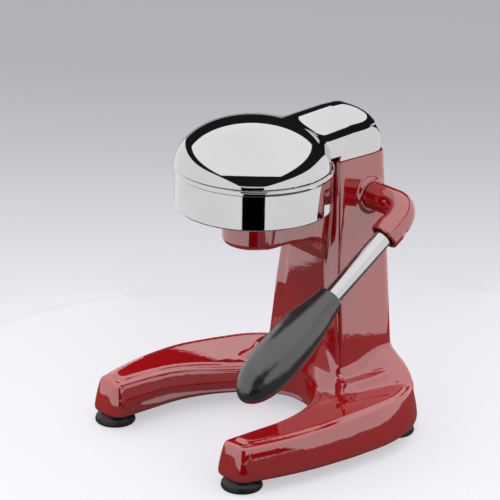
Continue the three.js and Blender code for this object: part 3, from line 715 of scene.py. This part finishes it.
RED = red_enamel()
CHROME = chrome("chrome", 0.000012, 0.03)
POLISHED = chrome("polished_stainless", 0.000006, 0.045)
PLASTIC = satin_plastic()
RUBBER = moulded_rubber()
STEEL = machined("machined_steel", (0.42, 0.42, 0.43), (0.55, 0.55, 0.56), 0.32)
ALUMINIUM = machined("cast_aluminium", (0.66, 0.67, 0.68), (0.74, 0.75, 0.76), 0.38, grain=(1, 1, 1))
BRONZE = machined("sintered_bronze", (0.45, 0.30, 0.13), (0.60, 0.42, 0.20), 0.42, grain=(1, 1, 1))
NYLON = machined("machined_nylon", (0.70, 0.67, 0.58), (0.78, 0.76, 0.68), 0.5, metallic=0.0)
BY_SLOT = {
    "red_enamel": RED, "chrome": CHROME, "stainless": POLISHED, "steel": STEEL, "aluminium": ALUMINIUM,
    "bronze": BRONZE, "black_plastic": PLASTIC, "black_rubber": RUBBER, "nylon": NYLON,
}
for part in frame["record"]["subparts"]:
    shown = frame["nodes"][part["node"]]
    shown.data.materials.clear()
    shown.data.materials.append(BY_SLOT[part["material_slot"]])


# ---- Castings ----
FINE = 1.4
MARGIN = 3


def skinned(name, field, lo, hi, step):
    """Skin over a field, shaded by the field's own slope."""
    points, faces, normals = skin(field, lo, hi, step)
    obj = new_mesh(name, points, faces, even_normals=False)
    obj.data.normals_split_custom_set_from_vertices(normals.tolist())
    return obj


casting = skinned("casting", casting_field, CAST_LO - MARGIN, CAST_HI + MARGIN, FINE)
head = skinned("head_casting", head_field, HEAD_LO - MARGIN, HEAD_HI + MARGIN, FINE * 0.75)
piece(casting, RED, "stand", "red_enamel", "body_casting")
piece(head, CHROME, "head", "chrome", "press_head")


# ---- Bowl, strainer, cone and bell ----
def bowl():
    lip = BOWL_HI[2]
    band = 184
    outside = 59.2
    rim = BOWL_HI[0]
    spout = 12.6
    end = BOWL_LO[2]
    outline = [
        (spout - 1.2, end), (spout, end, 0.5), (spout, 174, 3), (18, 177.5, 2), (18.6, 181.5, 1.5),
        (24.5, 182.2, 2), (56.6, band - 0.5, 2), (58.4, band - 0.2, 0.5), (outside, band + 0.9, 0.6),
        (outside, lip - 4.3, 0.4), (rim - 0.3, lip - 3.9, 0.5), (rim, lip - 2.2, 1.2),
        (rim - 0.3, lip - 0.3, 0.9), (rim - 1.2, lip, 0.5), (rim - 2.1, lip, 0.6), (57.6, 205.2, 1),
        (56.4, 204.2, 0.6), (56.2, 187, 1.5), (54, 185.6, 2), (24, 183.8, 2), (17.6, 183, 1),
        (spout - 1.2, 176, 1),
    ]
    return turned("bowl_shell", outline, 160, closed=True)


def strainer_dish():
    """Thin pierced dish: rings of faces with the slots left open, thickened afterwards."""
    z = extent("strainer")[0][2] + 0.6
    profile = [(27.5, z), (29, z), (31, z), (33, z), (35, z), (37, z), (39, z), (41.6, z), (43, z + 0.5),
               (48, z + 3.6), (52.6, z + 7.1), (54, z + 7.6), (56.8, z + 8.1)]
    slots = 20
    around = slots * 8
    angles = 2 * math.pi * np.arange(around) / around
    points = [(0, 0, z)]
    for r, height in profile:
        points.extend(np.stack([r * np.cos(angles), r * np.sin(angles), np.full(around, height)], 1))
    faces = [(0, 1 + k, 1 + (k + 1) % around) for k in range(around)]
    for row in range(len(profile) - 1):
        pierced = 1 <= row <= 5
        for k in range(around):
            if pierced and k % 8 in (3, 4):
                continue
            m = (k + 1) % around
            a, b = 1 + row * around, 1 + (row + 1) * around
            faces.append((a + k, b + k, b + m, a + m))
    obj = new_mesh("strainer_dish", points, faces)
    thick = obj.modifiers.new("sheet", "SOLIDIFY")
    thick.thickness = 0.9 * MM
    thick.offset = 0
    obj.modifiers.move(1, 0)
    return obj


def ribbed_cone():
    lo, hi = extent("reamer_cone")
    ribs = 10
    around = ribs * 16
    a = 2 * math.pi * np.arange(around) / around
    ridge = np.abs(np.cos(a * ribs / 2)) ** 0.8
    height = hi[2] - lo[2]
    circles = [np.array([[0, 0, lo[2]]])]
    foot = [(25.8, 0.0), (26.8, 0.4), (27, 1.2), (27, 2.0), (26.6, 2.6)]
    for r, dz in foot:
        circles.append(np.stack([r * np.cos(a), r * np.sin(a), np.full(around, lo[2] + dz)], 1))
    steps = 26
    for i in range(1, steps):
        t = i / steps
        r = 25.6 * (1 - t) ** 0.72 * (1 - 0.10 * math.sin(math.pi * t)) + 0.4
        depth = 0.17 * math.sin(math.pi * min(1, t * 1.15 + 0.02)) ** 0.6
        reach = r * (1 - depth * (1 - ridge))
        z = lo[2] + 2.6 + (height - 2.6) * (1 - (1 - t) ** 1.25)
        circles.append(np.stack([reach * np.cos(a), reach * np.sin(a), np.full(around, z)], 1))
    circles.append(np.array([[0, 0, hi[2]]]))
    return rings("ribbed_cone", circles)


def pressing_bell():
    """Cap inside the dome that the fruit is pressed on, with radial flutes on its underside."""
    lo, hi = extent("press_bell")
    flutes = 12
    around = flutes * 14
    a = 2 * math.pi * np.arange(around) / around
    ridge = np.abs(np.cos(a * flutes / 2)) ** 1.5
    under = rounded([(5.2, 239), (10, 239, 3), (22, 236.6, 6), (34, 230.4, 8), (44, 221.4, 6),
                     (48, lo[2], 1), (hi[0] - 0.4, lo[2], 0.8)], 4)
    top_r = hi[0] - 0.3
    over = []
    for i in range(13):
        t = math.sin(math.radians(66) * i / 12)
        over.append((top_r * math.sqrt(1 - t * t), lo[2] + 0.6 + (hi[2] - lo[2] - 2.6) * t / 0.913))
    circles = []
    for r, z in list(under) + over + [(12, hi[2] - 0.2), (5.2, hi[2] - 0.2)]:
        circles.append(np.stack([r * np.cos(a), r * np.sin(a), np.full(around, z)], 1))
    for i, (r, z) in enumerate(under):
        cut = 1.6 * smooth_step((r - 11) / 5) * smooth_step((47 - r) / 4)
        circles[i][:, 2] += cut * ridge
    circles = [circle + [0, DOME_SHIFT, 0] for circle in circles]
    return rings("fluted_bell", circles, closed=True)


piece(bowl(), POLISHED, "stand", "stainless", "juice_bowl")
piece(strainer_dish(), POLISHED, "stand", "stainless", "strainer")
piece(ribbed_cone(), ALUMINIUM, "stand", "aluminium", "reamer_cone")
piece(pressing_bell(), ALUMINIUM, "head", "aluminium", "press_bell")


# ---- Feet ----
def foot_pad(name):
    cx, cy, _ = middle(f"suction_foot_{name}")
    top = CAST_Z - 0.3
    outline = [
        (2.3, 5.2), (4.8, 5.2, 0.4), (4.8, 2.6, 0.5), (9, 1.8, 1.5), (13.2, 0, 0.6), (14.8, 0, 0.8),
        (15.8, 1.6, 1.6), (15.0, 4.6, 3), (12.4, 7.6, 4), (11.2, top, 0.5), (2.3, top),
    ]
    return turned(f"foot_pad_{name}", outline, 64, shifted(cx, cy), closed=True)


for name in FEET:
    piece(foot_pad(name), RUBBER, "stand", "black_rubber", f"suction_foot_{name}")


# ---- Lever ----
ELBOW_R = 10.8
ELBOW_BEND = 15
COLLAR_R = 11.8
MOUTH_S = 30
ROD_R = 7.15


def elbow():
    """Cast elbow from the shaft to the rod: bores, outer tube, bend and flared mouth as one skin."""
    across = np.array([1.0, 0, 0])
    corner = SHAFT + across * LEVER_X
    centre = corner - across * ELBOW_BEND + ALONG * ELBOW_BEND
    out = np.cross(across, ALONG)
    angles = 2 * math.pi * np.arange(64) / 64

    def ring(at, direction, r):
        """Circle about a point; its first direction stays in the bend's plane."""
        side = np.cross(out, direction)
        return at + r * (np.outer(np.cos(angles), side) + np.outer(np.sin(angles), out))

    def on_tube(x, r):
        return ring(SHAFT + across * x, across, r)

    def on_mouth(s, r):
        return ring(corner + ALONG * s, ALONG, r)

    start = ELBOW_LO[0]
    shaft_end = extent("pinion_shaft")[1][0] + 0.3
    circles = [(SHAFT + across * shaft_end)[None, :], on_tube(shaft_end, 6.2), on_tube(start + 0.3, 6.3),
               on_tube(start, 6.6), on_tube(start, 9.8), on_tube(start + 0.3, 10.5),
               on_tube(start + 1, ELBOW_R)]
    circles += [on_tube(x, ELBOW_R) for x in (40, 48, LEVER_X - ELBOW_BEND)]
    bend_steps = 16
    for i in range(1, bend_steps):
        a = math.pi / 2 * i / bend_steps
        direction = across * math.cos(a) + ALONG * math.sin(a)
        radial = across * math.sin(a) - ALONG * math.cos(a)
        circles.append(ring(centre + radial * ELBOW_BEND, direction, ELBOW_R))
    for i in range(9):
        t = i / 8
        circles.append(on_mouth(ELBOW_BEND + 7 * t, ELBOW_R + (COLLAR_R - ELBOW_R) * smooth_step(t)))
    mouth = rounded([(COLLAR_R, 22), (COLLAR_R, MOUTH_S, 1.4), (9.3, MOUTH_S, 0.5), (9.1, MOUTH_S - 7, 0.8),
                     (7.5, MOUTH_S - 7, 0.2), (7.5, 14)], 5)
    circles += [on_mouth(s, r) for r, s in mouth[1:]]
    circles.append((corner + ALONG * 14)[None, :])
    return rings("elbow_casting", circles)


def rod_bar():
    end = 178
    return turned("rod_bar", [(0, 14), (ROD_R, 14, 0.4), (ROD_R, end, 0.4), (0, end)], 64, on_lever)


def grip_body():
    bore = ROD_R + 0.3
    outline = [
        (bore, 92.6), (8.3, 92, 0.3), (9.4, 92.2, 0.5), (10.4, 93.4, 0.8), (10.7, 96, 3), (11.2, 100, 8),
        (12.4, 107, 20), (14.4, 115.5, 30), (16.3, 125, 40), (17.4, 136, 60), (18, 150, 60), (18, 163, 50),
        (17.2, 172, 40), (15.6, 180, 30), (12.8, 187.4, 16), (9, 193, 12), (4.6, 196.8, 10), (0, 198),
        (0, 179), (bore, 179, 0.3),
    ]
    return turned("grip_body", outline, 96, on_lever)


piece(elbow(), RED, "lever", "red_enamel", "lever_elbow")
piece(rod_bar(), CHROME, "lever", "chrome", "lever_rod")
piece(grip_body(), PLASTIC, "lever", "black_plastic", "lever_grip")


# ---- Shaft end on the left ----
def end_washer():
    lo, hi = extent("shaft_end_washer")
    near, far = -hi[0], -lo[0]
    outline = [(2.4, near), (10.6, near, 0.4), (10.6, far, 0.6), (2.4, far)]
    return turned("end_washer", outline, 64, on_shaft, closed=True)


def end_screw():
    """Pan head screw with a hexagon socket."""
    lo, hi = extent("shaft_end_screw")
    head, tip = -lo[0], -hi[0]
    seat = head - 3.4
    angles = 2 * math.pi * np.arange(48) / 48
    hexagon = 1 / np.cos((angles + math.pi / 6) % (math.pi / 3) - math.pi / 6)
    rows = [(0, tip, 0), (1.7, tip, 0), (2, tip - 0.4 * np.sign(tip - seat), 0), (2, seat, 0), (4.3, seat, 0),
            (4.6, seat + 0.3, 0), (4.6, head - 1.6, 0), (4.2, head - 0.7, 0), (3.2, head - 0.1, 0),
            (2.9, head, 0), (2.1, head, 1), (1.9, head - 0.3, 1), (1.9, head - 2.2, 1), (0, head - 2.5, 0)]
    circles = []
    for r, z, hexed in rows:
        if r == 0:
            circle = np.array([[0, 0, z]])
        else:
            reach = r * (hexagon * 0.93 if hexed else np.ones(48))
            circle = np.stack([reach * np.cos(angles), reach * np.sin(angles), np.full(48, z)], 1)
        circles.append(on_shaft(circle))
    return rings("end_screw", circles)


piece(end_washer(), STEEL, "lever", "steel", "shaft_end_washer")
piece(end_screw(), STEEL, "lever", "steel", "shaft_end_screw")


# ---- Camera ----
CAMERA_AZ = math.radians(48.95)
CAMERA_EL = math.radians(21.02)
CAMERA_ROLL = math.radians(1.10)
CAMERA_DISTANCE = 2.1818
CAMERA_TARGET = Vector(AXIS.tolist()) + Vector((0, -0.00284, 0.1477))
LENS = 208.44
SENSOR = 36


def make_camera():
    back = Vector((math.sin(CAMERA_AZ) * math.cos(CAMERA_EL), -math.cos(CAMERA_AZ) * math.cos(CAMERA_EL),
                   math.sin(CAMERA_EL)))
    right = Vector((math.cos(CAMERA_AZ), math.sin(CAMERA_AZ), 0))
    up = back.cross(right)
    x = right * math.cos(CAMERA_ROLL) + up * math.sin(CAMERA_ROLL)
    y = up * math.cos(CAMERA_ROLL) - right * math.sin(CAMERA_ROLL)
    data = bpy.data.cameras.new("camera")
    data.lens = LENS
    data.sensor_width = SENSOR
    data.clip_end = 50
    camera = bpy.data.objects.new("camera", data)
    camera.matrix_world = Matrix.Translation(CAMERA_TARGET + back * CAMERA_DISTANCE) @ Matrix(
        (x, y, back)).transposed().to_4x4()
    bpy.context.scene.collection.objects.link(camera)
    bpy.context.scene.camera = camera


# ---- Studio: pale floor, a wide overhead softbox, two curved side walls and two floor cards ----
TOWARDS = np.array([math.sin(CAMERA_AZ), -math.cos(CAMERA_AZ), 0])
RIGHTWARDS = np.array([math.cos(CAMERA_AZ), math.sin(CAMERA_AZ), 0])


def emitter(name, colour, strength):
    material = bpy.data.materials.new(name)
    material.use_nodes = True
    nodes = material.node_tree.nodes
    nodes.clear()
    light = nodes.new("ShaderNodeEmission")
    light.inputs["Color"].default_value = (*colour, 1)
    light.inputs["Strength"].default_value = strength
    out = nodes.new("ShaderNodeOutputMaterial")
    material.node_tree.links.new(light.outputs[0], out.inputs["Surface"])
    return material


def stage_mesh(name, points, faces, material):
    mesh = bpy.data.meshes.new(name)
    mesh.from_pydata([tuple(p) for p in points], [], faces)
    mesh.materials.append(material)
    obj = bpy.data.objects.new(name, mesh)
    bpy.context.scene.collection.objects.link(obj)
    return obj


def overhead():
    """Rectangle above the press, lined up with the camera."""
    height = 3.0
    reach = height - 0.25
    front, back, left, right = 1.42 * reach, -1.95 * reach, -1.66 * reach, 1.36 * reach
    corners = [(front, left), (front, right), (back, right), (back, left)]
    points = [AXIS + TOWARDS * f + RIGHTWARDS * r + [0, 0, height] for f, r in corners]
    light = emitter("overhead_light", (1, 0.99, 1), 1.08)
    panel = stage_mesh("overhead_softbox", points, [(0, 1, 2, 3)], light)
    panel.visible_camera = False


PANEL = 0.93  # radiance of the side walls
WALL_END_TOP = 0.2  # height of their tops at both ends, in metres


def side_wall(name, distance, start, crest, end, top, bend, feet):
    """Curved white wall with an arched top, which stands highest at the crest.

    Azimuths are in degrees from the camera, and the rest is in metres. A larger bend makes the arch
    squarer. The lower edge runs through feet, points of (azimuth, height).
    """
    azimuths = np.linspace(start, end, 40)
    share = np.abs(azimuths - crest) / np.where(azimuths < crest, crest - start, end - crest)
    tops = top - (top - WALL_END_TOP) * share ** bend
    lower = np.interp(azimuths, [az for az, _ in feet], [foot for _, foot in feet])
    points, faces = [], []
    for az, foot, height in zip(np.radians(azimuths), lower, tops):
        out = AXIS + distance * (TOWARDS * math.cos(az) + RIGHTWARDS * math.sin(az))
        points += [out + [0, 0, foot], out + [0, 0, height]]
    for i in range(len(azimuths) - 1):
        faces.append((2 * i, 2 * i + 2, 2 * i + 3, 2 * i + 1))
    wall = stage_mesh(name, points, faces, emitter(name + "_light", (1, 1, 1), PANEL))
    wall.visible_camera = False
    wall.visible_shadow = False


def floor_card():
    """Dim ring on the floor round the press, seen only by reflections."""
    sides = 48
    height = 0.0004
    points, faces = [], []
    for k in range(sides):
        a = 2 * math.pi * k / sides
        points += [(r * math.cos(a), r * math.sin(a), height) for r in (0.03, 1.6)]
    for k in range(sides):
        m = (k + 1) % sides
        faces.append((2 * k, 2 * k + 1, 2 * m + 1, 2 * m))
    card = stage_mesh("floor_card", points, faces, emitter("card_grey", (1, 1, 1), 0.12))
    card.visible_camera = False
    card.visible_diffuse = False
    card.visible_shadow = False


def front_flag():
    """Dark card on the floor in front of the press, seen only by reflections."""
    half = math.radians(16)
    near, far = 0.20, 1.8
    points = []
    for distance in (near, far):
        for side in (-1, 1):
            width = distance * math.tan(half)
            points.append(AXIS + TOWARDS * distance + RIGHTWARDS * side * width + [0, 0, 0.004])
    flag = stage_mesh("front_flag", points, [(0, 1, 3, 2)], emitter("flag_black", (0, 0, 0), 0))
    flag.visible_camera = False
    flag.visible_diffuse = False
    flag.visible_shadow = False


def floor_material():
    """White floor that glows with painted light: its brightness, falling to grey behind the press, is painted
    into its emission and is not lit.
    """
    material = bpy.data.materials.new("floor_paper_painted_glow")
    material.use_nodes = True
    nodes, links = material.node_tree.nodes, material.node_tree.links
    shader = nodes["Principled BSDF"]
    shader.inputs["Roughness"].default_value = 0.9
    shader.inputs["Specular IOR Level"].default_value = 0.1
    shader.inputs["Emission Strength"].default_value = 1
    place = nodes.new("ShaderNodeTexCoord")
    along = nodes.new("ShaderNodeVectorMath")
    along.operation = "DOT_PRODUCT"
    along.inputs[1].default_value = tuple(-TOWARDS)
    links.new(place.outputs["Object"], along.inputs[0])
    spread = nodes.new("ShaderNodeMapRange")
    spread.inputs["From Min"].default_value = -0.3
    spread.inputs["From Max"].default_value = 1.7
    links.new(along.outputs["Value"], spread.inputs["Value"])
    # painted light: this emission ramp paints the floor's brightness, from white in front to grey behind the
    # press
    painted_glow = nodes.new("ShaderNodeValToRGB")
    links.new(spread.outputs["Result"], painted_glow.inputs["Fac"])
    ramp = painted_glow.color_ramp
    stops = [(0.0, 0.50, 0.50, 0.51), (0.16, 0.47, 0.47, 0.50), (0.335, 0.33, 0.33, 0.37),
             (0.47, 0.17, 0.17, 0.19), (0.60, 0.09, 0.09, 0.10), (1.0, 0.06, 0.06, 0.07)]
    while len(ramp.elements) < len(stops):
        ramp.elements.new(0.5)
    for element, (position, *colour) in zip(ramp.elements, stops):
        element.position = position
        element.color = (*colour, 1)
    links.new(painted_glow.outputs["Color"], shader.inputs["Emission Color"])
    grain = nodes.new("ShaderNodeTexNoise")
    grain.inputs["Scale"].default_value = 420
    tint = nodes.new("ShaderNodeMix")
    tint.data_type = "RGBA"
    tint.inputs["A"].default_value = (0.44, 0.44, 0.45, 1)
    tint.inputs["B"].default_value = (0.49, 0.49, 0.50, 1)
    links.new(place.outputs["Object"], grain.inputs["Vector"])
    links.new(grain.outputs["Fac"], tint.inputs["Factor"])
    links.new(tint.outputs["Result"], shader.inputs["Base Color"])
    return material


def make_stage():
    size = 7.0
    sides = 48
    rim = [(size * math.cos(2 * math.pi * k / sides), size * math.sin(2 * math.pi * k / sides), -0.0002)
           for k in range(sides)]
    floor = stage_mesh("floor", rim, [tuple(range(sides))], floor_material())
    floor.visible_diffuse = False
    overhead()
    side_wall("left_wall", 0.29, -158, -80, -15, top=0.337, bend=2.6, feet=[(-158, 0.001)])
    side_wall("right_wall", 0.36, 15, 95, 145, top=0.333, bend=2.3,
              feet=[(15, 0.05), (43, 0.045), (52, 0.014), (98, 0.001)])
    floor_card()
    front_flag()
    world = bpy.data.worlds.new("dark_studio")
    world.use_nodes = True
    world.node_tree.nodes["Background"].inputs["Color"].default_value = (0.012, 0.012, 0.014, 1)
    bpy.context.scene.world = world
    bpy.context.scene.view_settings.view_transform = "Standard"


make_camera()
make_stage()
